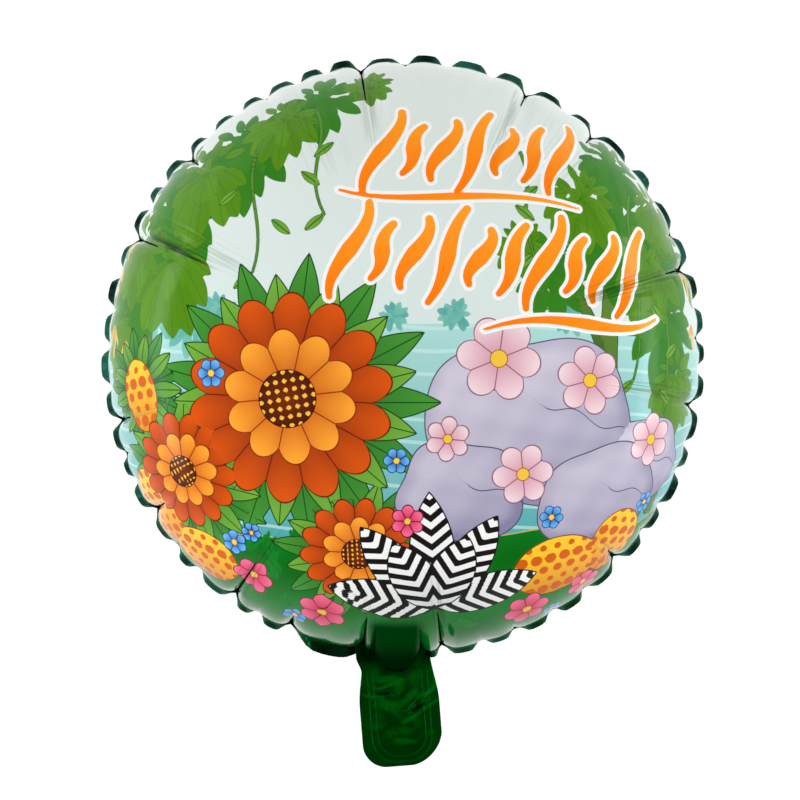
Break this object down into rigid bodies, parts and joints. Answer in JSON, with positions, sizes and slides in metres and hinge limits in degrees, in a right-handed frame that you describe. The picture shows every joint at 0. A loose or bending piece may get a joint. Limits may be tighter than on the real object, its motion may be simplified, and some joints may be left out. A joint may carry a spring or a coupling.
{
  "type": "round foil balloon",
  "caption": "Air-filled round foil balloon with a puckered, scalloped seam, a printed front, a plain metallic back and a flat tail with its valve, lying on its back.",
  "frame": {"origin": "centre of the small flat rest spot at the middle of the balloon's back, on the surface that it lies on", "axes": "+Z out of the printed front along the disc's axis, +Y towards the top of the print, the tail points along -Y"},
  "size_m": [0.348, 0.4091, 0.2035],
  "materials": {
    "printed_film": "satin gloss printed metallised film",
    "green_foil": "dark green metallised film, glossy",
    "valve_film": "clear soft film"
  },
  "bodies": {
    "root": {"front_film": "printed_film", "back_film": "green_foil", "inflation_valve": "valve_film"}
  },
  "joints": []
}
